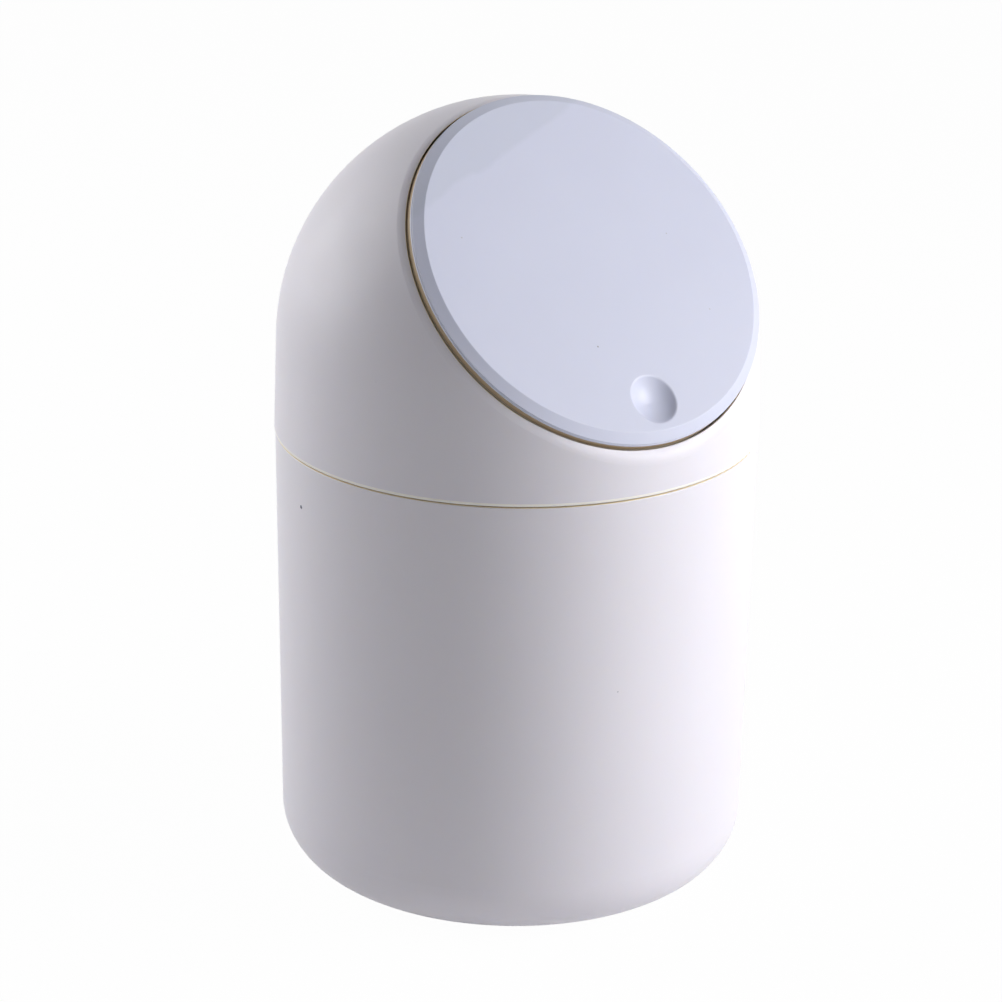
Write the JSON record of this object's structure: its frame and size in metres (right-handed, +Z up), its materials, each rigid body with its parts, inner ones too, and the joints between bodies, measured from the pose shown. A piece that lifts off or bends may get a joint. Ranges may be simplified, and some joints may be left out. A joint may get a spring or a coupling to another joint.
{
  "type": "push top countertop bin",
  "caption": "Small round countertop waste bin with a domed lift-off hood and a slanted round flap that opens when its lower edge is pressed",
  "frame": {"origin": "centre of the round foot, on the surface the bin stands on", "axes": "+Z is up and is the bin's long axis; the slanted flap faces -Y and up, its hinge is at the top and its thumb dimple at the bottom; +X is to the right of someone who faces the flap"},
  "size_m": [0.125, 0.125, 0.2052],
  "materials": {
    "body_shell": "satin warm white",
    "flap_face": "satin cool white",
    "flap_underside": "satin warm white",
    "catch_plastic": "matt light grey",
    "slider_plastic": "matt dark grey",
    "steel": "plain bright steel",
    "magnet": "nickel plated"
  },
  "bodies": {
    "bucket": {"bucket": "body_shell"},
    "hood": {"hood": "body_shell", "hinge_bracket": "catch_plastic", "hinge_screws": "steel", "hinge_spring_left": "steel", "hinge_spring_right": "steel", "latch_housing": "catch_plastic", "latch_side_cover": "catch_plastic", "latch_cap": "catch_plastic", "latch_screws": "steel", "latch_spring": "steel"},
    "press_group": {"hinge_pin": "steel", "latch_plunger": "slider_plastic", "latch_magnet": "magnet"},
    "flap": {"flap_cover": "flap_face", "flap_base": "flap_underside", "cover_screws": "steel", "striker_plate": "steel", "striker_screw": "steel"},
    "cam_pin": {"latch_cam_pin": "steel"}
  },
  "joints": [
    {"name": "hood_lift", "type": "slide", "parent": "bucket", "child": "hood", "axis": [0, 0, 1], "range_m": [0, 0.06]},
    {"name": "flap_press", "type": "hinge", "parent": "hood", "child": "press_group", "pos_m": [0, 0.00086, 0.19982], "axis": [-1, 0, 0], "range_deg": [-1.4, 0], "stiffness_Nm_per_rad": 2, "springref_deg": 0.52, "deforming": ["hinge_spring_left", "hinge_spring_right", "latch_spring"]},
    {"name": "flap_hinge", "type": "hinge", "parent": "press_group", "child": "flap", "pos_m": [0, 0.00086, 0.19982], "axis": [-1, 0, 0], "range_deg": [0, 60], "deforming": ["hinge_spring_left", "hinge_spring_right"]},
    {"name": "cam_pin_swing", "type": "hinge", "parent": "hood", "child": "cam_pin", "pos_m": [0, -0.02945, 0.12618], "axis": [0, 0.6652, 0.7466], "range_deg": [0, 6], "stiffness_Nm_per_rad": 0.00005}
  ]
}
